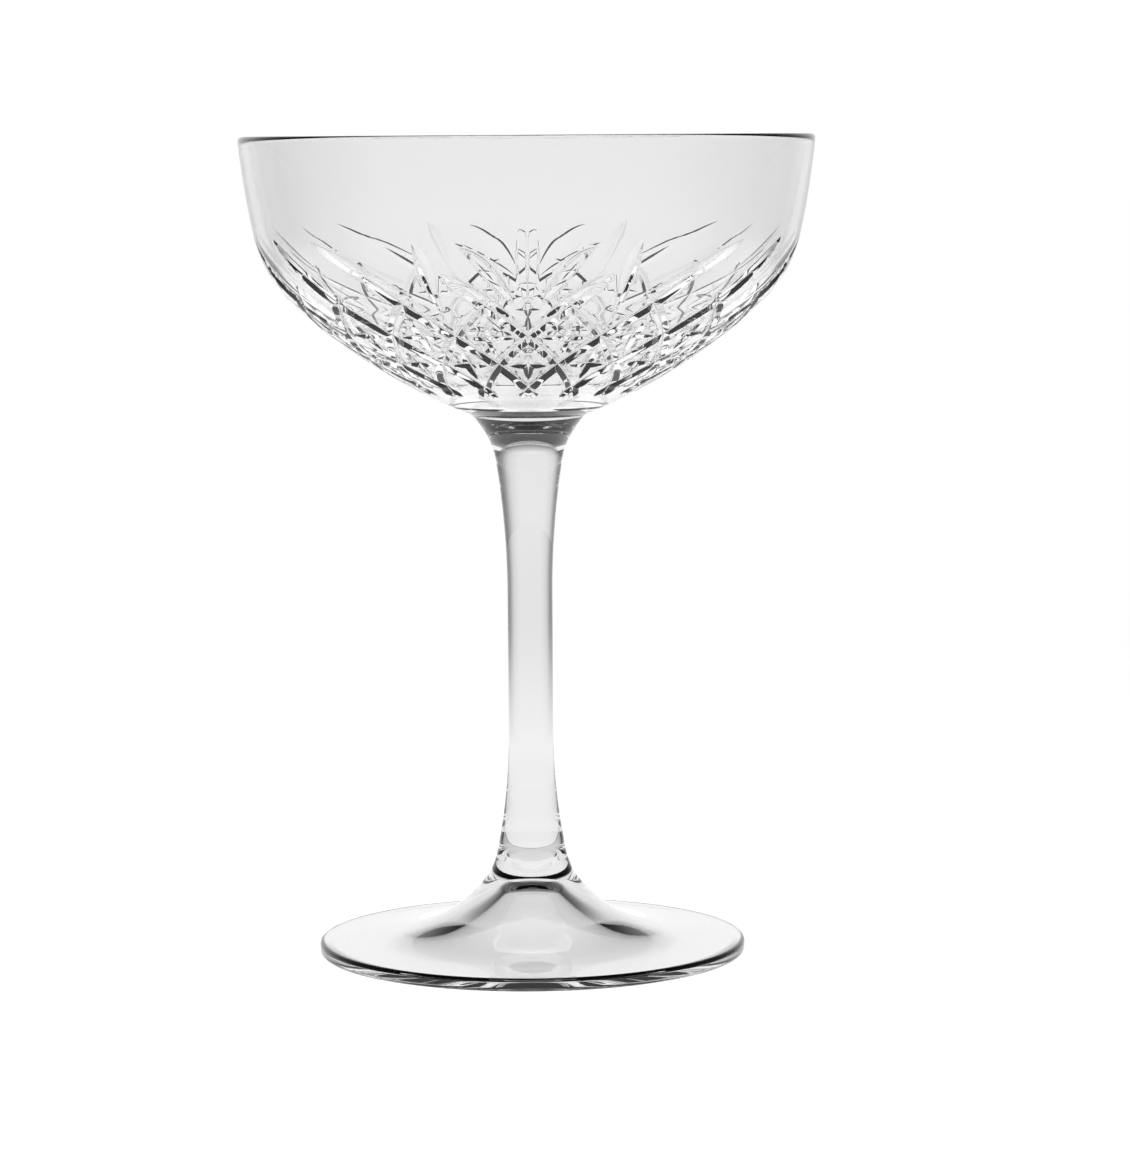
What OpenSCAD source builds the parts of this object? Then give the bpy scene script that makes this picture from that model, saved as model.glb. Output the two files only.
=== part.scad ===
// Coupe glass: a wide, shallow bowl with a cut outside, on a drawn stem and a domed foot.
// The origin is at the middle of the face that the foot stands on, and +Z runs up the stem.

/* [Glass] */
// Height from the table to the rim
glass_h = 137.5; // [120:0.5:155]
// Width across the rim
rim_d = 96; // [88:1:108]

/* [Bowl] */
// Thickness of the wall at the rim
rim_t = 1.6; // [1.2:0.1:2.4]
// Thickness of the wall where it turns into the floor
floor_t = 3; // [2.6:0.1:4]
// Height of the nearly upright part of the wall
wall_h = 15.3; // [11:0.1:20]
// Radius of the turn under the upright part
shoulder_r = 23; // [18:0.5:28]
// Width of the flat seat under the bowl, where the stem is joined
bowl_seat_d = 19; // [17:0.5:22]

/* [Cuts] */
// Width of the bands that cross round the bowl
band_w = 2; // [1.4:0.1:2.4]
// Depth of the bands
band_depth = 0.6; // [0.3:0.02:0.8]
// Way down the wall from the rim's turn to the top crossings of the bands
lattice_run = 27.7; // [25:0.1:30]
// Way down the wall from one row of crossings to the next
row_h = 8; // [7:0.1:8.6]
// Width of the leaves where they are fullest
leaf_w = 2.7; // [1.8:0.1:3.2]
// Depth of the leaves where they are fullest
leaf_depth = 0.65; // [0.3:0.05:0.9]
// Width of the upright spear in the middle of each fan
spear_w = 3.6; // [2.4:0.1:4.4]
// Depth of the spear
spear_depth = 0.3; // [0.16:0.02:0.4]

/* [Stem] */
// Width of the stem at its waist
waist_d = 7.6; // [6.5:0.1:10]
// Length of the slow flare under the bowl
top_flare_h = 30; // [22:1:34]
// How far the slow flare under the bowl widens the stem on each side
top_flare_w = 3.2; // [2:0.1:4]
// Length of the quick flare right under the bowl
top_collar_h = 7.4; // [5:0.1:10]
// Length of the slow flare over the foot
low_flare_h = 24; // [20:1:30]
// How far the slow flare over the foot widens the stem on each side
low_flare_w = 3; // [2.2:0.1:3.4]
// Length of the quick flare right over the foot
low_collar_h = 4; // [3:0.1:6]

/* [Foot] */
// Width of the foot
foot_d = 72; // [66:1:80]
// Thickness of the foot at its edge
edge_t = 2.2; // [1.6:0.1:3]
// Height of the seat on the foot, where the stem is joined
foot_seat_h = 12.8; // [12:0.1:15]
// Width of the seat on the foot
foot_seat_d = 15; // [14.4:0.1:18]
// Fall of the straight part of the foot's faces, from the seat to the edge
foot_fall_h = 2.2; // [1.4:0.1:2.6]
// Width of the flat ring that the foot stands on, measured inwards from the edge's turn
rest_w = 1.2; // [0.8:0.1:2.4]
// How far the underside sweeps up by the time that its hollow rounds off
under_sweep_h = 6.6; // [5:0.1:6.8]
// Width at which the hollow under the foot rounds off into a dome
hollow_d = 10; // [9:0.5:14]

/* [Hidden] */

// Facets round each turned piece, and steps along each curve, lip and cut
$fn = 96;
curve_steps = 14;
stem_steps = 44;
foot_steps = 22;
lip_steps = 10;
band_steps = 8;
leaf_steps = 6;

// How steeply the bowl's outline climbs, in degrees, at the seat, the belly, the wall and the rim
seat_tilt = 22;
belly_tilt = 42;
wall_tilt = 78;
rim_tilt = 84;
// The climb at which the inside turns into the rounded floor
floor_tilt = 30;
// How sharply the foot's faces sweep up to the stem
foot_sweep = 4;
// How closely the steps of the upper face crowd towards the stem
foot_crowding = 1.4;

// Diamonds round the bowl, and fans of leaves over them
columns = 18;
fans = 2;
column_turn = 360 / columns;
fan_turn = 360 / fans;
// How far a band runs from its middle crossing: down, up where it rises away from its fan, and up elsewhere.
// These and the places of the leaves are shares of a column's turn and of a row's height.
band_down_share = 1.125;
band_up_share = 0.9;
band_short_share = 0.65;
// Root, bend and tip of each leaf, from the middle of the fan and down from the top crossings
inner_leaf_shares = [[0.15, -0.03], [0.33, -1.14], [0.69, -1.36]];
low_leaf_shares = [[0.18, 0.35], [0.43, -0.21], [0.83, -0.79]];
upright_leaf_shares = [[1, 0.54], [1.07, -0.46], [1.18, -1.46]];
long_leaf_shares = [[1.35, -0.28], [1.9, -0.99], [2.5, -1.46]];
outer_leaf_shares = [[2.3, 0.29], [2.65, -0.69], [3.23, -1.46]];
last_leaf_shares = [[3.3, 0.29], [3.6, -0.71], [4.15, -1.46]];
leaning_shares = [inner_leaf_shares, low_leaf_shares, long_leaf_shares, outer_leaf_shares, last_leaf_shares];
spear_shares = [[0, 0], [0, -1.5], [0, -2.9]];
// Share of a leaf's width that its steep side takes, and where along a leaf it is fullest
steep_share = 0.22;
fullest_share = 0.5;
upright_fullest_share = 0.72;
// Share of a cut's depth by which its section stands clear of the wall's bulge
clear_share = 0.6;

// The bowl's outline runs down from the rim in three arcs that meet smoothly
lip_r = rim_t / 2;
lip_centre = [rim_d / 2 - lip_r, glass_h - lip_r];
wall_top = lip_centre + lip_r * [sin(rim_tilt), -cos(rim_tilt)];
wall_r = wall_h / (cos(wall_tilt) - cos(rim_tilt));
shoulder_top = arc_end(wall_top, wall_r, rim_tilt, wall_tilt);
belly_top = arc_end(shoulder_top, shoulder_r, wall_tilt, belly_tilt);
bowl_seat_r = bowl_seat_d / 2;
belly_r = (belly_top.x - bowl_seat_r) / (sin(belly_tilt) - sin(seat_tilt));
bowl_seat_h = arc_end(belly_top, belly_r, belly_tilt, seat_tilt).y;
floor_top_outside = arc_end(belly_top, belly_r, belly_tilt, floor_tilt);
floor_top = inner_point(floor_top_outside, floor_tilt);
floor_r = floor_top.x / sin(floor_tilt);
floor_centre = [0, floor_top.y + floor_r * cos(floor_tilt)];

// How far down the outside its two upper arcs run
wall_run = wall_r * (rim_tilt - wall_tilt) * PI / 180;
shoulder_run = wall_run + shoulder_r * (wall_tilt - belly_tilt) * PI / 180;

// The stem fills the height between its two seats
waist_r = waist_d / 2;
foot_seat_r = foot_seat_d / 2;
stem_h = bowl_seat_h - foot_seat_h;
top_collar_w = bowl_seat_r - waist_r - top_flare_w;
low_collar_w = foot_seat_r - waist_r - low_flare_w;

// The foot's edge is a full round, which the rest ring and the upper face run into
edge_r = edge_t / 2;
edge_centre = [foot_d / 2 - edge_r, edge_r];
foot_reach = edge_centre.x - foot_seat_r;
sweep_h = foot_seat_h - edge_t - foot_fall_h;
rest_in_r = edge_centre.x - rest_w;
hollow_r = hollow_d / 2;

// Where an arc that starts at a point with one climb ends when it has another
function arc_end(from, radius, climb_from, climb_to) =
    from + radius * [sin(climb_to) - sin(climb_from), cos(climb_from) - cos(climb_to)];

// The climb after each step of an arc
function climbs(first, last, steps) = [for (i = [0 : steps]) first + (last - first) * i / steps];

function backwards(list) = [for (i = [len(list) - 1 : -1 : 0]) list[i]];

// Wall thickness at a height: it grows steadily from the rim down to the floor's edge
function wall_t(height) =
    rim_t + (floor_t - rim_t) * (wall_top.y - height) / (wall_top.y - floor_top_outside.y);

// The point of the inside that faces a point of the outside
function inner_point(outside, climb) = outside + wall_t(outside.y) * [-sin(climb), cos(climb)];

// Each row is a point of the outside and the climb there, from the rim to a lowest climb
function outside_rows(lowest) = concat(
    [for (c = climbs(rim_tilt, wall_tilt, curve_steps)) [arc_end(wall_top, wall_r, rim_tilt, c), c]],
    [for (c = climbs(wall_tilt, belly_tilt, curve_steps))
        if (c < wall_tilt) [arc_end(shoulder_top, shoulder_r, wall_tilt, c), c]],
    [for (c = climbs(belly_tilt, lowest, curve_steps))
        if (c < belly_tilt) [arc_end(belly_top, belly_r, belly_tilt, c), c]]);

// The climb and the point of the outside at a way down the wall from the rim's turn
function climb_at(run) =
    run < wall_run ? rim_tilt - run / wall_r * 180 / PI
    : run < shoulder_run ? wall_tilt - (run - wall_run) / shoulder_r * 180 / PI
    : belly_tilt - (run - shoulder_run) / belly_r * 180 / PI;
function outside_at(climb) =
    climb > wall_tilt ? arc_end(wall_top, wall_r, rim_tilt, climb)
    : climb > belly_tilt ? arc_end(shoulder_top, shoulder_r, wall_tilt, climb)
    : arc_end(belly_top, belly_r, belly_tilt, climb);

// A place on the wall is a turn from the front and a way down. These give its point and the way out of it.
function wall_point(place) =
    let (p = outside_at(climb_at(place.y))) [p.x * sin(place.x), -p.x * cos(place.x), p.y];
function outward(place) =
    let (c = climb_at(place.y)) [sin(c) * sin(place.x), -sin(c) * cos(place.x), -cos(c)];

// A place from shares of a column and a row, on one side of a fan's middle
function place_at(middle, side, shares) =
    [middle + side * column_turn * shares.x, lattice_run + row_h * shares.y];

// Places along a way that bows through a bend, and the depth at each of them
function bent(from, bend, to, steps) =
    [for (i = [0 : steps]) let (u = i / steps) pow(1 - u, 2) * from + 2 * u * (1 - u) * bend + u * u * to];
function lens(depth, steps, fullest) =
    [for (i = [0 : steps]) i == steps ? 0 : depth * sin(180 * pow(i / steps, ln(0.5) / ln(fullest)))];

// Half width of the stem at a height above its lower seat: a waist and two flares at each end
function swell(width, length, distance) = width * pow(max(0, 1 - distance / length), 2);
function stem_r(height) = waist_r
    + swell(top_collar_w, top_collar_h, stem_h - height) + swell(top_flare_w, top_flare_h, stem_h - height)
    + swell(low_collar_w, low_collar_h, height) + swell(low_flare_w, low_flare_h, height);

// Height and climb at a radius of a face of the foot that falls straight and sweeps up to the stem
function inwards(radius) = (edge_centre.x - radius) / foot_reach;
function face_h(radius, sweep) = foot_fall_h * inwards(radius) + sweep * pow(inwards(radius), foot_sweep);
function face_climb(radius, sweep) =
    atan((foot_fall_h + foot_sweep * sweep * pow(inwards(radius), foot_sweep - 1)) / foot_reach);

module bowl_outline() {
    outside = [for (row = outside_rows(seat_tilt)) row[0]];
    inside = [for (row = outside_rows(floor_tilt)) inner_point(row[0], row[1])];
    lip = [for (i = [1 : lip_steps - 1])
        let (a = rim_tilt + 90 - 180 * i / lip_steps) lip_centre + lip_r * [cos(a), sin(a)]];
    floor_curve = [for (c = climbs(floor_tilt, 0, curve_steps))
        if (c < floor_tilt) floor_centre + floor_r * [sin(c), -cos(c)]];
    polygon(concat(lip, outside, [[0, bowl_seat_h]], backwards(floor_curve), backwards(inside)));
}

// The three corners of a V section: its edge in the glass, and its left and right brows clear of the wall
function section(point, out, along, depth, clear, full, left, right) =
    let (across = cross(out, along), aside = across / norm(across), reach = (depth + clear) / full)
    [point - depth * out,
        point + clear * out + reach * left * aside,
        point + clear * out - reach * right * aside];

// A cut along places on the wall; left and right are its half widths where it is as deep as full
module groove(places, depths, full, left, right) {
    last = len(places) - 1;
    way = [for (place = places) wall_point(place)];
    step = max([for (i = [1 : last]) norm(way[i] - way[i - 1])]);
    bulge = step * step / shoulder_r / 8;
    clear = bulge + clear_share * full;
    points = [for (i = [0 : last])
        each section(way[i], outward(places[i]), way[min(i + 1, last)] - way[max(i - 1, 0)],
            depths[i], clear, full, left, right)];
    sides = [for (i = [0 : last - 1], k = [0 : 2])
        let (a = 3 * i + k, b = 3 * i + (k + 1) % 3)
        each [[a, a + 3, b], [b, a + 3, b + 3]]];
    polyhedron(points, concat([[0, 1, 2]], sides, [[3 * last, 3 * last + 2, 3 * last + 1]]));
}

// The two sets of bands that cross all round; one that rises away from a fan's middle runs up beside the fan
module bands() {
    for (k = [0 : columns - 1], side = [-1, 1]) {
        away = (side * k + columns) % (columns / fans) < columns / fans / 2;
        up_share = away ? band_up_share : band_short_share;
        crossing = [k * column_turn, lattice_run + row_h];
        from = crossing + 2 * band_down_share * [-side * column_turn / 2, row_h];
        to = crossing + 2 * up_share * [side * column_turn / 2, -row_h];
        groove([for (i = [0 : band_steps]) from + (to - from) * i / band_steps],
            [for (i = [0 : band_steps]) i == 0 || i == band_steps ? 0 : band_depth],
            band_depth, band_w / 2, band_w / 2);
    }
}

module leaf(middle, side, shares, fullest, steep) {
    ends = [for (share = shares) place_at(middle, side, share)];
    left = side > 0 ? steep : 1 - steep;
    groove(bent(ends[0], ends[1], ends[2], leaf_steps), lens(leaf_depth, leaf_steps, fullest),
        leaf_depth, leaf_w * left, leaf_w * (1 - left));
}

module fan(middle) {
    spear = [for (share = spear_shares) place_at(middle, 1, share)];
    groove(bent(spear[0], spear[1], spear[2], leaf_steps), lens(spear_depth, leaf_steps, fullest_share),
        spear_depth, spear_w / 2, spear_w / 2);
    for (side = [-1, 1]) {
        for (shares = leaning_shares)
            leaf(middle, side, shares, fullest_share, steep_share);
        leaf(middle, side, upright_leaf_shares, upright_fullest_share, 1 - steep_share);
    }
}

module bowl() {
    color([0.86, 0.88, 0.89, 0.45])
        difference() {
            rotate_extrude()
                bowl_outline();
            bands();
            for (f = [0 : fans - 1])
                fan(f * fan_turn);
        }
}

module stem() {
    color([0.8, 0.82, 0.83, 0.55])
        translate([0, 0, foot_seat_h])
            rotate_extrude()
                polygon(concat([[0, 0]],
                    [for (i = [0 : stem_steps]) [stem_r(stem_h * i / stem_steps), stem_h * i / stem_steps]],
                    [[0, stem_h]]));
}

module foot() {
    top = [for (i = [0 : foot_steps])
        let (r = foot_seat_r + foot_reach * pow(i / foot_steps, foot_crowding))
        [r, edge_t + face_h(r, sweep_h)]];
    edge = [for (i = [1 : lip_steps])
        let (a = 180 * i / lip_steps) edge_centre + edge_r * [sin(a), cos(a)]];
    sweep = under_sweep_h / pow(inwards(hollow_r), foot_sweep);
    rest_h = face_h(rest_in_r, sweep);
    under = [for (i = [0 : foot_steps])
        let (r = rest_in_r + (hollow_r - rest_in_r) * i / foot_steps)
        [r, face_h(r, sweep) - rest_h]];
    dome_tilt = face_climb(hollow_r, sweep);
    dome_r = hollow_r / sin(dome_tilt);
    dome_centre = [0, under[foot_steps].y - dome_r * cos(dome_tilt)];
    dome = [for (a = climbs(dome_tilt, 0, curve_steps))
        if (a < dome_tilt) dome_centre + dome_r * [sin(a), cos(a)]];
    color([0.84, 0.86, 0.87, 0.5])
        rotate_extrude()
            polygon(concat([[0, foot_seat_h]], top, edge, under, dome));
}

bowl();
stem();
foot();
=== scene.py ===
import math

import bmesh
import bpy
from bpy.props import FloatProperty, FloatVectorProperty, IntProperty, PointerProperty
from mathutils import Euler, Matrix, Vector


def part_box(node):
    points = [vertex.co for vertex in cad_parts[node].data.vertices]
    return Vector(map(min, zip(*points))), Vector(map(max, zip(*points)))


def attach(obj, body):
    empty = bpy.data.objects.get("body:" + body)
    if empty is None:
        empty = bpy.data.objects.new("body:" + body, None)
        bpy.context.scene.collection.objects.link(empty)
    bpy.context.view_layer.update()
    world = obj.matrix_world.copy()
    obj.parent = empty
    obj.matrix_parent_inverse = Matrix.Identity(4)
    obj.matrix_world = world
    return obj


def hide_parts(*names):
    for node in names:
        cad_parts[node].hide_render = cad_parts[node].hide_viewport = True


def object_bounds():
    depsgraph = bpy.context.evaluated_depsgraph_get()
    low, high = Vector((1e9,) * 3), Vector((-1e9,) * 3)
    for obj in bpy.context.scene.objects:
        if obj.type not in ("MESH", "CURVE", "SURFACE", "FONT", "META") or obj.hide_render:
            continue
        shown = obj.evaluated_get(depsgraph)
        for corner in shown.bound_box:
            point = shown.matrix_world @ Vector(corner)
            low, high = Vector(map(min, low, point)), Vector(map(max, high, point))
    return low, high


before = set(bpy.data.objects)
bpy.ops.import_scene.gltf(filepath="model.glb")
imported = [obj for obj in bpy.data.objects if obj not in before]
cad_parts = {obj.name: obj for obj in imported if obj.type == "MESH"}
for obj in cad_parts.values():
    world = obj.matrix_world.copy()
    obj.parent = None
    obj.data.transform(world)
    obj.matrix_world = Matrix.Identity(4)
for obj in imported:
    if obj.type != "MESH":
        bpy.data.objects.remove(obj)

bl_info = {
    "name": "Coupe Glass",
    "version": (1, 0, 0),
    "blender": (4, 5, 0),
    "location": "3D View > Sidebar > Coupe Glass",
    "description": "Builds a cut coupe glass around its packed frame, and the table under it",
    "category": "Object",
}

MM = 0.001
CAD_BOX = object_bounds()
GLASS_HEIGHT = CAD_BOX[1][2]
RIM_WIDTH = round((CAD_BOX[1][0] - CAD_BOX[0][0]) / MM) * MM
FOOT_WIDTH = round((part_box("foot")[1][0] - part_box("foot")[0][0]) / MM) * MM
FOOT_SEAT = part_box("stem")[0][2]
BOWL_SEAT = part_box("stem")[1][2]

# Steps round every turned piece, and along an arc, the lip, the foot's edge, its faces and the stem
ROUND_STEPS = 288
CURVE_STEPS = 28
LIP_STEPS = 14
EDGE_STEPS = 24
FACE_STEPS = 56
STEM_STEPS = 240
# How much the steps of the foot's upper face crowd towards the stem: 1 for not at all
FACE_CROWDING = 1.5
# A point of an outline nearer to the axis than this is on it
ON_AXIS = 1e-7
# The bowl's points nearer to its fine ring than this share of the ring's breadth make way for it
RING_MARGIN = 0.25
# Facets that meet more sharply than this stay crisp
CREASE = math.radians(24)
# A piece's material for its glass, and the one for its flat faces that are fused to a neighbour
GLASS_INDEX, SEAM_INDEX = 0, 1


class BowlSizes(bpy.types.PropertyGroup):
    """Sizes of the turned bowl"""
    rim_thick: FloatProperty(
        name="Rim thickness", description="Thickness of the wall at the rim",
        default=1.6 * MM, unit='LENGTH')
    floor_thick: FloatProperty(
        name="Floor thickness", description="Thickness of the wall where the floor begins",
        default=3 * MM, unit='LENGTH')
    wall_height: FloatProperty(
        name="Wall height", description="Height of the nearly upright part of the wall",
        default=15.3 * MM, unit='LENGTH')
    shoulder_radius: FloatProperty(
        name="Shoulder radius", description="Radius of the turn under the upright part",
        default=23 * MM, unit='LENGTH')
    seat_width: FloatProperty(
        name="Seat width", description="Width of the seat where the stem is joined",
        default=19 * MM, unit='LENGTH')
    seat_climb: FloatProperty(
        name="Seat climb", description="How steeply the outline climbs at the seat",
        default=math.radians(22), subtype='ANGLE')
    belly_climb: FloatProperty(
        name="Belly climb", description="How steeply it climbs where the shoulder begins",
        default=math.radians(42), subtype='ANGLE')
    wall_climb: FloatProperty(
        name="Wall climb", description="How steeply it climbs where the wall begins",
        default=math.radians(78), subtype='ANGLE')
    rim_climb: FloatProperty(
        name="Rim climb", description="How steeply it climbs at the rim",
        default=math.radians(84), subtype='ANGLE')
    floor_climb: FloatProperty(
        name="Floor climb", description="The climb at which the inside turns into the floor",
        default=math.radians(24), subtype='ANGLE')
    ring: FloatVectorProperty(
        name="Ring", description="Width, breadth and depth of the fine ring over the stem",
        size=3, default=(26 * MM, 0.9 * MM, 0.22 * MM), unit='LENGTH')


class CutSizes(bpy.types.PropertyGroup):
    """Sizes of the cuts in the bowl's outside"""
    columns: IntProperty(
        name="Columns", description="Diamonds round the bowl", default=18, min=6)
    fans: IntProperty(
        name="Fans", description="Fans of leaves round the bowl", default=2, min=1)
    top_run: FloatProperty(
        name="Top crossings", description="Way down the wall from the rim to the top crossings",
        default=27.7 * MM, unit='LENGTH')
    row_height: FloatProperty(
        name="Row height", description="Way down the wall from one row of crossings to the next",
        default=8 * MM, unit='LENGTH')
    band: FloatVectorProperty(
        name="Band", description="Width and depth of the bands of the lattice",
        size=2, default=(2 * MM, 0.5 * MM), unit='LENGTH')
    star: FloatVectorProperty(
        name="Star", description="Width and depth of the small cuts that cross in each diamond",
        size=2, default=(1.8 * MM, 0.5 * MM), unit='LENGTH')
    leaf: FloatVectorProperty(
        name="Leaf", description="Width and depth of the leaves",
        size=2, default=(2.7 * MM, 0.65 * MM), unit='LENGTH')
    spear: FloatVectorProperty(
        name="Spear", description="Width and depth of the upright cut in each fan",
        size=2, default=(3.6 * MM, 0.3 * MM), unit='LENGTH')
    steep: FloatProperty(
        name="Steep side", description="Share of a leaf's width that its steep side takes",
        default=0.22, min=0.05, max=0.95)


class StemSizes(bpy.types.PropertyGroup):
    """Sizes of the stem"""
    waist: FloatProperty(
        name="Waist", description="Width of the stem at its waist",
        default=7.6 * MM, unit='LENGTH')
    top_flare: FloatVectorProperty(
        name="Upper flare", description="How far it widens the stem, and its length",
        size=2, default=(3.2 * MM, 30 * MM), unit='LENGTH')
    top_collar_length: FloatProperty(
        name="Upper collar", description="Length of the quick flare under the bowl",
        default=7.4 * MM, unit='LENGTH')
    low_flare: FloatVectorProperty(
        name="Lower flare", description="How far it widens the stem, and its length",
        size=2, default=(3 * MM, 24 * MM), unit='LENGTH')
    low_collar_length: FloatProperty(
        name="Lower collar", description="Length of the quick flare over the foot",
        default=4 * MM, unit='LENGTH')


class FootSizes(bpy.types.PropertyGroup):
    """Sizes of the foot"""
    edge_thick: FloatProperty(
        name="Edge thickness", description="Thickness of the foot at its edge",
        default=2.2 * MM, unit='LENGTH')
    edge_bow: FloatProperty(
        name="Edge bow",
        description="How round the foot's edge is: 1 for a full round, 0 for square",
        default=0.55, min=0.2, max=1)
    seat_width: FloatProperty(
        name="Seat width", description="Width of the seat where the stem is joined",
        default=15 * MM, unit='LENGTH')
    rest_width: FloatProperty(
        name="Rest width", description="Width of the flat ring that the foot stands on",
        default=1.2 * MM, unit='LENGTH')
    hollow_width: FloatProperty(
        name="Hollow width", description="Width at which the hollow rounds off into a dome",
        default=10 * MM, unit='LENGTH')
    fall: FloatProperty(
        name="Fall", description="Fall of the straight part of the foot's faces",
        default=2.2 * MM, unit='LENGTH')
    sweep: FloatProperty(
        name="Sweep", description="How sharply both faces sweep up towards the stem", default=4)
    under_sweep: FloatProperty(
        name="Under sweep",
        description="How far the underside sweeps up to where its hollow rounds off",
        default=6.6 * MM, unit='LENGTH')


class GlassLook(bpy.types.PropertyGroup):
    """Colour and finish of the glass"""
    tint: FloatVectorProperty(
        name="Tint", description="Colour that the bowl's thin wall lets through",
        size=3, default=(0.94, 0.94, 0.94), subtype='COLOR', min=0, max=1)
    deep_tint: FloatVectorProperty(
        name="Deep tint", description="Colour that the thick stem and foot let through",
        size=3, default=(0.8, 0.8, 0.8), subtype='COLOR', min=0, max=1)
    ior: FloatProperty(
        name="Refraction", description="Index of refraction of soda-lime glass", default=1.52)
    polish: FloatProperty(
        name="Roughness", description="Roughness of the polished faces",
        default=0.0, min=0, max=1)
    waviness: FloatProperty(
        name="Waviness", description="Strength of the slow waves that fire polishing leaves",
        default=0.02, min=0, max=1)


class Studio(bpy.types.PropertyGroup):
    """Camera, table and lights"""
    distance: FloatProperty(
        name="Distance", description="From the camera to the glass's axis",
        default=0.69, unit='LENGTH')
    pitch: FloatProperty(
        name="Pitch", description="How far the camera looks down",
        default=math.radians(6.234), subtype='ANGLE')
    turn: FloatProperty(
        name="Turn", description="How far the camera looks to the right of the axis",
        default=math.radians(0.49), subtype='ANGLE')
    roll: FloatProperty(
        name="Roll", description="How far the camera leans to the right",
        default=math.radians(0.38), subtype='ANGLE')
    lens: FloatProperty(
        name="Lens", description="Focal length in millimetres on a frame 36 mm wide",
        default=131.4)
    table_glow: FloatProperty(
        name="Table glow", description="How brightly the table glows round the glass",
        default=1.08)
    far_glow: FloatProperty(
        name="Far glow", description="How brightly it glows far behind the glass",
        default=0.98)
    backdrop: FloatProperty(
        name="Backdrop", description="Brightness of the white backdrop", default=1.03)
    backdrop_turn: FloatProperty(
        name="Backdrop turn", description="How far the backdrop's middle lies to the right",
        default=math.radians(-6), subtype='ANGLE')


def spoke(radius, climb):
    """From an arc's centre to where the arc has a climb: out by the sine, down by the cosine."""
    return Vector((radius * math.sin(climb), -radius * math.cos(climb)))


def arc_end(start, radius, climb_from, climb_to):
    """Where an arc that starts at a point with one climb ends when it has another."""
    return start + spoke(radius, climb_to) - spoke(radius, climb_from)


def climbs(first, last, steps):
    """Climbs from the first to the last in even steps."""
    return [first + (last - first) * i / steps for i in range(steps + 1)]


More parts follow.
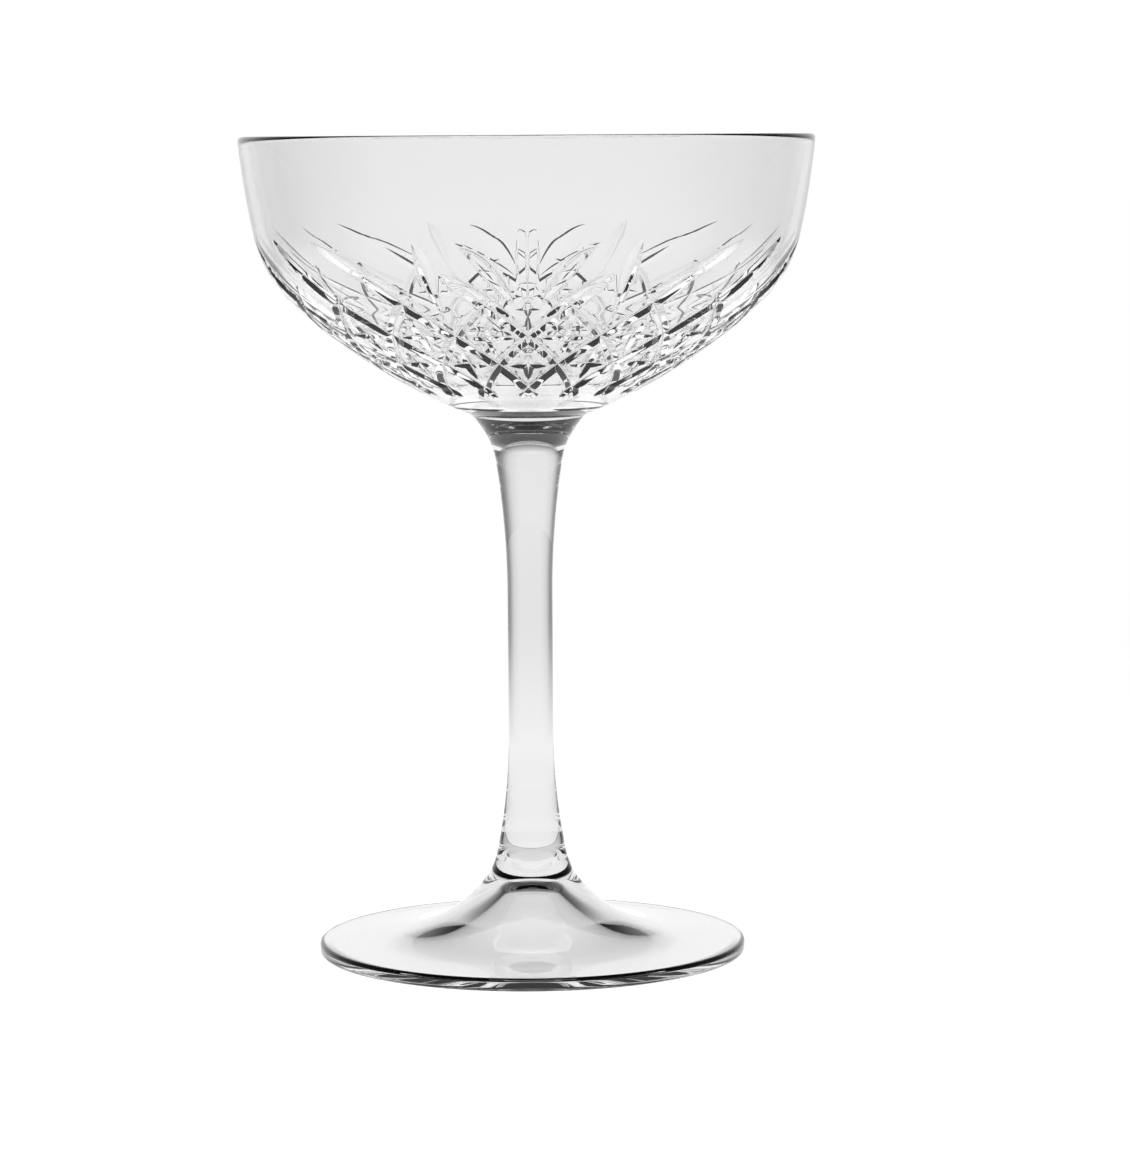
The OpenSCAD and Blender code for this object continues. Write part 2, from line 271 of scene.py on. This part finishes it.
class BowlOutline:
    """The bowl's outline in the plane of radius and height, from its sizes."""

    def __init__(self, bowl):
        self.bowl = bowl
        self.lip_radius = bowl.rim_thick / 2
        self.lip_centre = Vector((RIM_WIDTH / 2 - self.lip_radius, GLASS_HEIGHT - self.lip_radius))
        self.wall_top = self.lip_centre + spoke(self.lip_radius, bowl.rim_climb)
        self.wall_radius = (bowl.wall_height
                            / (math.cos(bowl.wall_climb) - math.cos(bowl.rim_climb)))
        self.shoulder_top = arc_end(self.wall_top, self.wall_radius,
                                    bowl.rim_climb, bowl.wall_climb)
        self.belly_top = arc_end(self.shoulder_top, bowl.shoulder_radius,
                                 bowl.wall_climb, bowl.belly_climb)
        self.belly_radius = ((self.belly_top.x - bowl.seat_width / 2)
                             / (math.sin(bowl.belly_climb) - math.sin(bowl.seat_climb)))
        self.floor_outside = arc_end(self.belly_top, self.belly_radius,
                                     bowl.belly_climb, bowl.floor_climb)
        self.wall_run = self.wall_radius * (bowl.rim_climb - bowl.wall_climb)
        self.shoulder_run = (self.wall_run
                             + bowl.shoulder_radius * (bowl.wall_climb - bowl.belly_climb))

    def at_climb(self, climb):
        """The point of the outside that has a climb."""
        bowl = self.bowl
        if climb >= bowl.wall_climb:
            return arc_end(self.wall_top, self.wall_radius, bowl.rim_climb, climb)
        if climb >= bowl.belly_climb:
            return arc_end(self.shoulder_top, bowl.shoulder_radius, bowl.wall_climb, climb)
        return arc_end(self.belly_top, self.belly_radius, bowl.belly_climb, climb)

    def climb_at(self, run):
        """The climb at a way down the wall from the rim."""
        if run < self.wall_run:
            return self.bowl.rim_climb - run / self.wall_radius
        if run < self.shoulder_run:
            return self.bowl.wall_climb - (run - self.wall_run) / self.bowl.shoulder_radius
        return self.bowl.belly_climb - (run - self.shoulder_run) / self.belly_radius

    def all_climbs(self, lowest):
        """The climbs of the outline's rows, from the rim down to the lowest."""
        rows = climbs(self.bowl.rim_climb, self.bowl.wall_climb, CURVE_STEPS)
        rows += climbs(self.bowl.wall_climb, self.bowl.belly_climb, CURVE_STEPS)[1:]
        return rows + climbs(self.bowl.belly_climb, lowest, CURVE_STEPS)[1:]

    def inner(self, climb):
        """The point of the inside across the wall from the outside's point with a climb."""
        outside = self.at_climb(climb)
        share = (self.wall_top.y - outside.y) / (self.wall_top.y - self.floor_outside.y)
        thickness = self.bowl.rim_thick + (self.bowl.floor_thick - self.bowl.rim_thick) * share
        return outside - spoke(thickness, climb)

    def closed(self):
        """From the middle of the seat up the outside, over the lip and down the inside."""
        lowest = self.bowl.floor_climb
        rows = reversed(self.all_climbs(self.bowl.seat_climb))
        outside = self.ringed([self.at_climb(climb) for climb in rows])
        inside = [self.inner(climb) for climb in self.all_climbs(lowest)]
        lip = [self.lip_centre
               + spoke(self.lip_radius, self.bowl.rim_climb + math.pi * i / LIP_STEPS)
               for i in range(1, LIP_STEPS)]
        floor_top = inside[-1]
        floor_radius = floor_top.x / math.sin(lowest)
        centre = Vector((0, floor_top.y + floor_radius * math.cos(lowest)))
        floor = [centre + spoke(floor_radius, climb)
                 for climb in climbs(lowest, 0, CURVE_STEPS)[1:]]
        return [Vector((0, outside[0].y))] + outside + lip + inside + floor

    def ringed(self, outside):
        """The outside with a fine ring turned into it over the stem."""
        width, breadth, depth = self.bowl.ring

        def climb_out(radius):
            inwards = (self.belly_top.x - radius) / self.belly_radius
            return math.asin(math.sin(self.bowl.belly_climb) - inwards)

        below, middle, above = (climb_out((width + share * breadth) / 2) for share in (-1, 0, 1))
        ring = [self.at_climb(below), self.at_climb(middle) - spoke(depth, middle),
                self.at_climb(above)]
        margin = breadth * RING_MARGIN
        return ([point for point in outside if point.x < ring[0].x - margin] + ring
                + [point for point in outside if point.x > ring[-1].x + margin])

    def spot(self, angle, run):
        """The outside at an angle round the axis from the front and a way down from the rim."""
        place = self.at_climb(self.climb_at(run))
        return Vector((place.x * math.sin(angle), -place.x * math.cos(angle), place.y))

    def outward(self, angle, run):
        """The direction that the outside faces there."""
        climb = self.climb_at(run)
        out = math.sin(climb)
        return Vector((out * math.sin(angle), -out * math.cos(angle), -math.cos(climb)))


def turned(name, outline, seams):
    """A piece turned from an outline that starts and ends on the axis; rows in seams are fused."""
    mesh = bpy.data.meshes.new(name)
    bm = bmesh.new()
    rings = []
    for point in outline:
        if point.x < ON_AXIS:
            rings.append([bm.verts.new((0, 0, point.y))])
        else:
            rings.append([
                bm.verts.new((point.x * math.sin(a), -point.x * math.cos(a), point.y))
                for a in (2 * math.pi * i / ROUND_STEPS for i in range(ROUND_STEPS))])
    for row, (low, high) in enumerate(zip(rings, rings[1:])):
        for i in range(ROUND_STEPS):
            j = (i + 1) % ROUND_STEPS
            corners = [low[i % len(low)], low[j % len(low)],
                       high[j % len(high)], high[i % len(high)]]
            # A ring of one point gives the same corner twice
            face = bm.faces.new(list(dict.fromkeys(corners)))
            face.material_index = SEAM_INDEX if row in seams else GLASS_INDEX
    bmesh.ops.recalc_face_normals(bm, faces=bm.faces)
    bm.to_mesh(mesh)
    bm.free()
    piece = bpy.data.objects.new(name, mesh)
    bpy.context.collection.objects.link(piece)
    return piece


def smooth(piece):
    """Shades a piece smooth except at its creases."""
    for face in piece.data.polygons:
        face.use_smooth = True
    piece.data.set_sharp_from_angle(angle=CREASE)


# How far a cutter stands off the wall, so that it cuts cleanly
CUT_LIFT = 0.3 * MM
# Half of a cut's section, from its fire-polished bottom to its rounded brow: shares of its width
# and depth
HALF_SECTION = ((0.05, -0.93), (0.13, -0.88), (0.22, -0.79), (0.8, -0.2),
                (0.92, -0.1), (1.05, -0.035), (1.2, 0.0))
# The share of its full size that a cut's section keeps where it runs out
LEAST_SHARE = 0.08
# The share of its width on the left of its bottom that a cut with even sides has
EVEN = 0.5
# How bluntly a cut runs out at its ends: 1 for the shape of a sine, less for blunter
RUN_OUT = 0.8
# Steps along each kind of cut
BAND_STEPS = 36
STAR_STEPS = 12
SPEAR_STEPS = 24
LEAF_STEPS = 18
# How far a band of the lattice runs down from its middle crossing, and up from it beside a fan
# and elsewhere, in half columns
BAND_DOWN = 2.4
BAND_UP_BESIDE = 1.8
BAND_UP = 1.3
# The share of its depth that a band has one step in from each end
BAND_END_SHARE = 0.75
# How far a band is moved, in radians, to find which side of a fan's middle it is on, so that
# rounding doesn't settle it
SIDE_NUDGE = 0.01
# Half the height of a star in row heights, and half its breadth in half columns
STAR_HIGH = 0.55
STAR_WIDE = 0.62
# Where a spear begins and ends on its way down from the rim, and where along it it is deepest
SPEAR_RUN = (4 * MM, 28 * MM)
SPEAR_FULLEST = 0.6
# Leaves on one side of a fan: root, bend and tip as degrees from its middle and millimetres down
# from the rim, where along it a leaf is fullest, and whether its upper side is the steep one
LEAVES = (
    ((3.0, 27.5), (6.6, 18.6), (13.8, 16.8), 0.5, True),
    ((3.5, 30.5), (8.6, 26.0), (16.5, 21.4), 0.5, True),
    ((20.0, 32.0), (21.4, 24.0), (23.6, 16.0), 0.72, False),
    ((27.0, 25.5), (38.0, 19.8), (50.0, 16.0), 0.5, True),
    ((46.0, 30.0), (53.0, 22.2), (64.5, 16.0), 0.5, True),
    ((66.0, 30.0), (72.0, 22.0), (83.0, 16.0), 0.5, True),
)


def cutter(bm, outline, places, depths, size, left):
    """Adds a cutter along places on the wall; left is the share of its width left of its bottom."""
    rings = []
    last = len(places) - 1
    spots = [outline.spot(*place) for place in places]
    width, full = size
    for i, place in enumerate(places):
        along = spots[min(i + 1, last)] - spots[max(i - 1, 0)]
        out = outline.outward(*place)
        aside = out.cross(along).normalized()
        share = max(depths[i] / full, LEAST_SHARE)
        rise = share * full - depths[i]

        def corner(reach, high, lift=0.0):
            wide = width * share * reach * (left if reach > 0 else 1 - left)
            return bm.verts.new(spots[i] + wide * aside + (high * share * full + rise + lift) * out)

        brow = HALF_SECTION[-1]
        ring = [corner(*brow, CUT_LIFT)] + [corner(*part) for part in reversed(HALF_SECTION)]
        ring += [corner(-wide, high) for wide, high in HALF_SECTION]
        rings.append(ring + [corner(-brow[0], brow[1], CUT_LIFT)])
    count = len(rings[0])
    for low, high in zip(rings, rings[1:]):
        for k in range(count):
            bm.faces.new((low[k], high[k], high[(k + 1) % count], low[(k + 1) % count]))
    bm.faces.new(rings[0])
    bm.faces.new(reversed(rings[-1]))


def cutter_mesh(name, outline, ways):
    """An object that holds a cutter for each way; a way is places, depths, size and left."""
    mesh = bpy.data.meshes.new(name)
    bm = bmesh.new()
    for way in ways:
        cutter(bm, outline, *way)
    bmesh.ops.recalc_face_normals(bm, faces=bm.faces)
    bm.to_mesh(mesh)
    bm.free()
    return bpy.data.objects.new(name, mesh)


def between(start, end, steps):
    """Places along a straight way on the unrolled wall."""
    return [tuple(a + (b - a) * i / steps for a, b in zip(start, end)) for i in range(steps + 1)]


def bent(start, middle, end, steps):
    """Places along a way that bows through a middle control point."""
    rows = []
    for i in range(steps + 1):
        u = i / steps
        rows.append(tuple((1 - u) ** 2 * a + 2 * u * (1 - u) * m + u * u * b
                          for a, m, b in zip(start, middle, end)))
    return rows


def tapered(depth, steps, fullest=0.5):
    """Depths that rise from nothing to the full depth and fall back, as a cutting wheel does."""
    power = math.log(0.5) / math.log(fullest)
    return [depth * math.sin(math.pi * (i / steps) ** power) ** RUN_OUT if 0 < i < steps else 0
            for i in range(steps + 1)]


def lattice_ways(cuts):
    """Two sets of bands that cross all round; one that rises away from a fan runs up beside it."""
    half_turn = math.pi / cuts.columns
    fan_turn = 2 * math.pi / cuts.fans
    depth = cuts.band[1]
    ends = [0, depth * BAND_END_SHARE]
    depths = ends + [depth] * (BAND_STEPS + 1 - 2 * len(ends)) + ends[::-1]
    groups = []
    for side, parity in ((-1, 0), (-1, 1), (1, 0), (1, 1)):
        ways = []
        for k in range(parity, cuts.columns, 2):
            valley = 2 * k * half_turn
            rises_away = (side * valley + SIDE_NUDGE) % fan_turn < fan_turn / 2
            up = BAND_UP_BESIDE if rises_away else BAND_UP
            start = (valley - side * BAND_DOWN * half_turn,
                     cuts.top_run + (1 + BAND_DOWN) * cuts.row_height)
            end = (valley + side * up * half_turn, cuts.top_run + (1 - up) * cuts.row_height)
            ways.append((between(start, end, BAND_STEPS), depths, cuts.band, EVEN))
        groups.append(ways)
    return groups


def star_ways(cuts):
    """An upright and a level cut that cross in the middle of each diamond."""
    half_turn = math.pi / cuts.columns
    reach = STAR_HIGH * cuts.row_height
    wide = STAR_WIDE * half_turn
    middles = [(k * half_turn, cuts.top_run + (1 if k % 2 else 2) * cuts.row_height)
               for k in range(2 * cuts.columns)]
    upright = [((angle, run - reach), (angle, run + reach)) for angle, run in middles]
    level = [((angle - wide, run), (angle + wide, run)) for angle, run in middles]
    depths = tapered(cuts.star[1], STAR_STEPS)
    return [[(between(start, end, STAR_STEPS), depths, cuts.star, EVEN) for start, end in ways]
            for ways in (upright, level)]


def fan_ways(cuts):
    """An upright spear over a valley of the lattice, and leaves that rise away on both sides."""
    middles = [fan * 2 * math.pi / cuts.fans for fan in range(cuts.fans)]
    top, bottom = SPEAR_RUN
    depths = tapered(cuts.spear[1], SPEAR_STEPS, SPEAR_FULLEST)
    groups = [[(between((middle, top), (middle, bottom), SPEAR_STEPS), depths, cuts.spear, EVEN)
               for middle in middles]]
    for *way, fullest, upper_steep in LEAVES:
        depths = tapered(cuts.leaf[1], LEAF_STEPS, fullest)
        ways = []
        for middle in middles:
            for side in (-1, 1):
                bends = ((middle + side * math.radians(angle), run * MM) for angle, run in way)
                left = cuts.steep if upper_steep == (side > 0) else 1 - cuts.steep
                ways.append((bent(*bends, LEAF_STEPS), depths, cuts.leaf, left))
        groups.append(ways)
    return groups


def cut(piece, outline, cuts):
    """Takes out the cutters, one group of those that don't touch each other at a time."""
    for number, ways in enumerate(lattice_ways(cuts) + star_ways(cuts) + fan_ways(cuts)):
        tool = cutter_mesh(f"cutter_{number}", outline, ways)
        bpy.context.collection.objects.link(tool)
        modifier = piece.modifiers.new("cut", 'BOOLEAN')
        modifier.operation = 'DIFFERENCE'
        modifier.solver = 'MANIFOLD'
        modifier.object = tool
        bpy.context.view_layer.objects.active = piece
        bpy.ops.object.modifier_apply(modifier=modifier.name)
        bpy.data.objects.remove(tool, do_unlink=True)


def stem_outline(stem, bowl, foot):
    """The stem's outline from the middle of its lower end to the middle of its upper one."""
    length = BOWL_SEAT - FOOT_SEAT
    waist = stem.waist / 2
    # How far each collar and flare widens the stem, how far it reaches, and from which end
    swells = (
        (bowl.seat_width / 2 - waist - stem.top_flare[0], stem.top_collar_length, length),
        (stem.top_flare[0], stem.top_flare[1], length),
        (foot.seat_width / 2 - waist - stem.low_flare[0], stem.low_collar_length, 0),
        (stem.low_flare[0], stem.low_flare[1], 0),
    )
    outline = [Vector((0, FOOT_SEAT))]
    for i in range(STEM_STEPS + 1):
        height = length * i / STEM_STEPS
        radius = waist + sum(wide * max(0, 1 - abs(end - height) / reach) ** 2
                             for wide, reach, end in swells)
        outline.append(Vector((radius, FOOT_SEAT + height)))
    outline.append(Vector((0, BOWL_SEAT)))
    return outline


def foot_outline(foot):
    """From the middle of the seat out over the upper face and edge, and under to the hollow."""
    edge_radius = foot.edge_thick / 2
    edge = Vector((FOOT_WIDTH / 2 - edge_radius, edge_radius))
    seat_radius = foot.seat_width / 2
    reach = edge.x - seat_radius

    def face(radius, sweep):
        """Height of a face that falls straight to the edge and sweeps up towards the stem."""
        inwards = (edge.x - radius) / reach
        return foot.fall * inwards + sweep * inwards ** foot.sweep

    outline = [Vector((0, FOOT_SEAT))]
    upper_sweep = FOOT_SEAT - foot.edge_thick - foot.fall
    for i in range(FACE_STEPS + 1):
        radius = seat_radius + reach * (i / FACE_STEPS) ** FACE_CROWDING
        outline.append(Vector((radius, foot.edge_thick + face(radius, upper_sweep))))
    for i in range(1, EDGE_STEPS + 1):
        out, up = math.sin(math.pi * i / EDGE_STEPS), math.cos(math.pi * i / EDGE_STEPS)
        bowed = Vector((max(out, 0) ** foot.edge_bow, math.copysign(abs(up) ** foot.edge_bow, up)))
        outline.append(edge + edge_radius * bowed)
    rest_inside = edge.x - foot.rest_width
    hollow_radius = foot.hollow_width / 2
    inwards = (edge.x - hollow_radius) / reach
    sweep = foot.under_sweep / inwards ** foot.sweep
    for i in range(FACE_STEPS + 1):
        radius = rest_inside + (hollow_radius - rest_inside) * i / FACE_STEPS
        outline.append(Vector((radius, face(radius, sweep) - face(rest_inside, sweep))))
    # The dome goes on from the face's climb there to level on the axis
    climb = math.atan((foot.fall + foot.sweep * sweep * inwards ** (foot.sweep - 1)) / reach)
    dome_radius = hollow_radius / math.sin(climb)
    centre = Vector((0, outline[-1].y - dome_radius * math.cos(climb)))
    outline += [centre - spoke(dome_radius, -c) for c in climbs(climb, 0, CURVE_STEPS)[1:]]
    outline[-1].x = 0
    return outline


# Slow waves to a metre of each piece, their detail and their height
BOWL_WAVES = 45
STEM_WAVES = 60
FOOT_WAVES = 35
WAVE_DETAIL = 1
WAVE_HEIGHT = 0.2 * MM
# Handling marks to a metre, their detail, the stretch of their noise over which they come in, and
# how much rougher than clean glass they are
MARKS = 140
MARK_DETAIL = 4
MARK_STRETCH = (0.45, 0.8)
MARK_ROUGHNESS = 0.02


def set_inputs(node, values):
    """Sets a node's inputs from their names."""
    for name, value in values.items():
        node.inputs[name].default_value = value


def waves_group():
    """Slow waves and faint handling marks that fire-polished glass carries."""
    found = bpy.data.node_groups.get("polished_waves")
    if found:
        return found
    group = bpy.data.node_groups.new("polished_waves", 'ShaderNodeTree')
    for name, kind in (("Wave size", 'INPUT'), ("Clean", 'INPUT'), ("Marked", 'INPUT'),
                       ("Height", 'OUTPUT'), ("Roughness", 'OUTPUT')):
        group.interface.new_socket(name, in_out=kind, socket_type='NodeSocketFloat')
    nodes, links = group.nodes, group.links
    given, out = nodes.new('NodeGroupInput'), nodes.new('NodeGroupOutput')
    place = nodes.new('ShaderNodeTexCoord')
    slow = nodes.new('ShaderNodeTexNoise')
    set_inputs(slow, {'Detail': WAVE_DETAIL})
    marks = nodes.new('ShaderNodeTexNoise')
    set_inputs(marks, {'Scale': MARKS, 'Detail': MARK_DETAIL})
    ramp = nodes.new('ShaderNodeMapRange')
    set_inputs(ramp, {'From Min': MARK_STRETCH[0], 'From Max': MARK_STRETCH[1]})
    links.new(place.outputs['Object'], slow.inputs['Vector'])
    links.new(place.outputs['Object'], marks.inputs['Vector'])
    links.new(given.outputs['Wave size'], slow.inputs['Scale'])
    links.new(marks.outputs['Fac'], ramp.inputs['Value'])
    links.new(given.outputs['Clean'], ramp.inputs['To Min'])
    links.new(given.outputs['Marked'], ramp.inputs['To Max'])
    links.new(slow.outputs['Fac'], out.inputs['Height'])
    links.new(ramp.outputs['Result'], out.inputs['Roughness'])
    return group


def glass_material(name, look, tint, wave_size):
    """Clear glass with a tint and a number of slow waves to a metre."""
    material = bpy.data.materials.new(name)
    material.use_nodes = True
    nodes, links = material.node_tree.nodes, material.node_tree.links
    shader = nodes['Principled BSDF']
    set_inputs(shader, {'Base Color': (*tint, 1), 'Metallic': 0, 'Transmission Weight': 1,
                        'IOR': look.ior})
    waves = nodes.new('ShaderNodeGroup')
    waves.node_tree = waves_group()
    set_inputs(waves, {'Wave size': wave_size, 'Clean': look.polish,
                       'Marked': look.polish + MARK_ROUGHNESS})
    bump = nodes.new('ShaderNodeBump')
    set_inputs(bump, {'Strength': look.waviness, 'Distance': WAVE_HEIGHT})
    links.new(waves.outputs['Height'], bump.inputs['Height'])
    links.new(bump.outputs['Normal'], shader.inputs['Normal'])
    links.new(waves.outputs['Roughness'], shader.inputs['Roughness'])
    return material


def seam_material():
    """Where two pieces are fused, light passes as if nothing were there."""
    found = bpy.data.materials.get("fused_seam")
    if found:
        return found
    material = bpy.data.materials.new("fused_seam")
    material.use_nodes = True
    set_inputs(material.node_tree.nodes['Principled BSDF'], {'Alpha': 0})
    return material


def dress(piece, node, material):
    """Gives a piece its two materials and its place in the frame."""
    piece.data.materials.append(material)
    piece.data.materials.append(seam_material())
    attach(piece, "root")
    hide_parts(node)


class COUPE_OT_bowl(bpy.types.Operator):
    """Turn the bowl and cut its outside"""
    bl_idname = "coupe.bowl"
    bl_label = "Cut bowl"

    def execute(self, context):
        scene = context.scene
        look = scene.coupe_look
        outline = BowlOutline(scene.coupe_bowl)
        piece = turned("cut_bowl", outline.closed(), {0})
        dress(piece, "bowl",
              glass_material("bowl_glass", look, look.tint, BOWL_WAVES))
        cut(piece, outline, scene.coupe_cuts)
        smooth(piece)
        return {'FINISHED'}


class COUPE_OT_stem(bpy.types.Operator):
    """Turn the waisted stem"""
    bl_idname = "coupe.stem"
    bl_label = "Stem"

    def execute(self, context):
        scene = context.scene
        look = scene.coupe_look
        outline = stem_outline(scene.coupe_stem, scene.coupe_bowl, scene.coupe_foot)
        piece = turned("waisted_stem", outline, {0, len(outline) - 2})
        dress(piece, "stem",
              glass_material("stem_glass", look, look.deep_tint, STEM_WAVES))
        smooth(piece)
        return {'FINISHED'}


class COUPE_OT_foot(bpy.types.Operator):
    """Turn the domed foot"""
    bl_idname = "coupe.foot"
    bl_label = "Foot"

    def execute(self, context):
        scene = context.scene
        look = scene.coupe_look
        piece = turned("domed_foot", foot_outline(scene.coupe_foot), {0})
        dress(piece, "foot",
              glass_material("foot_glass", look, look.deep_tint, FOOT_WAVES))
        smooth(piece)
        return {'FINISHED'}


WHITE = (1, 1, 1, 1)
# How bright the surroundings are from behind the camera (-1) through the sides (0) to the
# backdrop (1), and from the horizon (0) to overhead (1)
ROUND_ABOUT = ((-1, 0.45), (-0.5, 0.4), (-0.1, 0.18), (0.45, 0.2), (0.66, 0.4), (0.83, 0.85),
               (0.95, 1))
OVERHEAD = ((0, 1), (0.3, 0.95), (0.5, 0.4), (0.7, 0.2), (1, 0.2))
# Half the table's width in metres, and how far it lies under the foot, so that the two don't
# share a plane
TABLE_REACH = 12
TABLE_DROP = 0.02 * MM
# The table's grey and roughness, and how far out in metres its white glow begins and ends to fade
TABLE_GREY = 0.2
TABLE_ROUGHNESS = 0.9
TABLE_FADE = (0.16, 0.5)
# The camera's frame in millimetres, and the nearest and farthest that it sees in metres
FRAME_WIDTH = 36
SEEN_FROM, SEEN_TO = 0.05, 60


def brightness(tree, value, stops):
    """Brightness along a value from -1 to 1, with straight stretches between stops."""
    reach = tree.nodes.new('ShaderNodeMapRange')
    set_inputs(reach, {'From Min': -1})
    ramp = tree.nodes.new('ShaderNodeValToRGB')
    tree.links.new(value, reach.inputs['Value'])
    tree.links.new(reach.outputs['Result'], ramp.inputs['Fac'])
    while len(ramp.color_ramp.elements) < len(stops):
        ramp.color_ramp.elements.new(1)
    for element, (where, bright) in zip(ramp.color_ramp.elements, stops):
        element.position = (where + 1) / 2
        element.color = (bright, bright, bright, 1)
    return ramp.outputs['Color']


def product(tree, *values):
    """The values multiplied, each a socket or a number."""
    total = values[0]
    for value in values[1:]:
        node = tree.nodes.new('ShaderNodeMath')
        node.operation = 'MULTIPLY'
        for socket, factor in zip(node.inputs, (total, value)):
            if isinstance(factor, float):
                socket.default_value = factor
            else:
                tree.links.new(factor, socket)
        total = node.outputs['Value']
    return total


def towards_backdrop(tree, way, turn):
    """How nearly a direction points at a backdrop turned to the right, from -1 to 1."""
    node = tree.nodes.new('ShaderNodeVectorMath')
    node.operation = 'DOT_PRODUCT'
    node.inputs[1].default_value = (math.sin(turn), math.cos(turn), 0)
    tree.links.new(way, node.inputs[0])
    return node.outputs['Value']


def table_material(studio):
    """A pale table that glows white round the glass and dims away as the surroundings do."""
    material = bpy.data.materials.new("table_top")
    material.use_nodes = True
    tree = material.node_tree
    nodes, links = tree.nodes, tree.links
    shader = nodes['Principled BSDF']
    set_inputs(shader, {'Base Color': (TABLE_GREY, TABLE_GREY, TABLE_GREY, 1),
                        'Roughness': TABLE_ROUGHNESS, 'Specular IOR Level': 0,
                        'Emission Color': WHITE})
    place = nodes.new('ShaderNodeTexCoord')
    way, far = nodes.new('ShaderNodeVectorMath'), nodes.new('ShaderNodeVectorMath')
    way.operation, far.operation = 'NORMALIZE', 'LENGTH'
    links.new(place.outputs['Object'], way.inputs[0])
    links.new(place.outputs['Object'], far.inputs[0])
    away = nodes.new('ShaderNodeMapRange')
    away.interpolation_type = 'SMOOTHSTEP'
    set_inputs(away, {'From Min': TABLE_FADE[0], 'From Max': TABLE_FADE[1]})
    links.new(far.outputs['Value'], away.inputs['Value'])
    blend = nodes.new('ShaderNodeMix')
    links.new(away.outputs['Result'], blend.inputs['Factor'])
    set_inputs(blend, {'A': studio.table_glow})
    facing = towards_backdrop(tree, way.outputs['Vector'], 0)
    far_off = product(tree, brightness(tree, facing, ROUND_ABOUT), studio.far_glow)
    links.new(far_off, blend.inputs['B'])
    links.new(blend.outputs['Result'], shader.inputs['Emission Strength'])
    return material


class COUPE_OT_stage(bpy.types.Operator):
    """Set up the light table, the surroundings and the camera"""
    bl_idname = "coupe.stage"
    bl_label = "Stage"

    def execute(self, context):
        scene = context.scene
        studio = scene.coupe_studio
        self.table(studio)
        self.surroundings(scene, studio)
        self.camera(scene, studio)
        scene.view_settings.view_transform = 'Standard'
        scene.view_settings.look = 'None'
        return {'FINISHED'}

    def table(self, studio):
        """A wide flat table just under the foot."""
        mesh = bpy.data.meshes.new("table")
        sides = ((-1, -1), (1, -1), (1, 1), (-1, 1))
        mesh.from_pydata([(TABLE_REACH * x, TABLE_REACH * y, 0) for x, y in sides],
                         [], [(0, 1, 2, 3)])
        table = bpy.data.objects.new("table", mesh)
        bpy.context.collection.objects.link(table)
        table.location.z = -TABLE_DROP
        mesh.materials.append(table_material(studio))

    def surroundings(self, scene, studio):
        """A white backdrop behind the glass, and dimmer light from every other side."""
        world = bpy.data.worlds.new("studio")
        scene.world = world
        world.use_nodes = True
        tree = world.node_tree
        light = tree.nodes['Background']
        set_inputs(light, {'Color': WHITE})
        place = tree.nodes.new('ShaderNodeTexCoord')
        split = tree.nodes.new('ShaderNodeSeparateXYZ')
        tree.links.new(place.outputs['Generated'], split.inputs['Vector'])
        facing = towards_backdrop(tree, place.outputs['Generated'], studio.backdrop_turn)
        bright = product(tree, brightness(tree, facing, ROUND_ABOUT),
                         brightness(tree, split.outputs['Z'], OVERHEAD), studio.backdrop)
        tree.links.new(bright, light.inputs['Strength'])

    def camera(self, scene, studio):
        """The photograph's camera, level with the rim and looking down a little."""
        data = bpy.data.cameras.new("camera")
        data.sensor_fit = 'HORIZONTAL'
        data.sensor_width = FRAME_WIDTH
        data.lens = studio.lens
        data.clip_start = SEEN_FROM
        data.clip_end = SEEN_TO
        camera = bpy.data.objects.new("camera", data)
        bpy.context.collection.objects.link(camera)
        camera.location = (0, -studio.distance, GLASS_HEIGHT)
        look = Euler((math.pi / 2 - studio.pitch, 0, -studio.turn)).to_matrix()
        lean = Euler((0, 0, -studio.roll)).to_matrix()
        camera.rotation_euler = (look @ lean).to_euler()
        scene.camera = camera


class COUPE_PT_panel(bpy.types.Panel):
    """Lists the glass's pieces and the stage"""
    bl_idname = "COUPE_PT_panel"
    bl_label = "Coupe Glass"
    bl_space_type = 'VIEW_3D'
    bl_region_type = 'UI'
    bl_category = "Coupe Glass"

    def draw(self, context):
        column = self.layout.column()
        for operator in OPERATORS:
            column.operator(operator.bl_idname)
        for group in GROUPS:
            box = self.layout.box()
            settings = getattr(context.scene, group)
            for name in GROUPS[group].__annotations__:
                box.prop(settings, name)


OPERATORS = (COUPE_OT_stage, COUPE_OT_bowl, COUPE_OT_stem, COUPE_OT_foot)
GROUPS = {
    "coupe_bowl": BowlSizes,
    "coupe_cuts": CutSizes,
    "coupe_stem": StemSizes,
    "coupe_foot": FootSizes,
    "coupe_look": GlassLook,
    "coupe_studio": Studio,
}


def register():
    for kind in (*GROUPS.values(), *OPERATORS, COUPE_PT_panel):
        bpy.utils.register_class(kind)
    for name, kind in GROUPS.items():
        setattr(bpy.types.Scene, name, PointerProperty(type=kind))


def unregister():
    for name in GROUPS:
        delattr(bpy.types.Scene, name)
    for kind in (COUPE_PT_panel, *reversed(OPERATORS), *reversed(GROUPS.values())):
        bpy.utils.unregister_class(kind)


def main():
    register()
    bpy.ops.coupe.stage()
    bpy.ops.coupe.bowl()
    bpy.ops.coupe.stem()
    bpy.ops.coupe.foot()


if __name__ == "__main__":
    main()
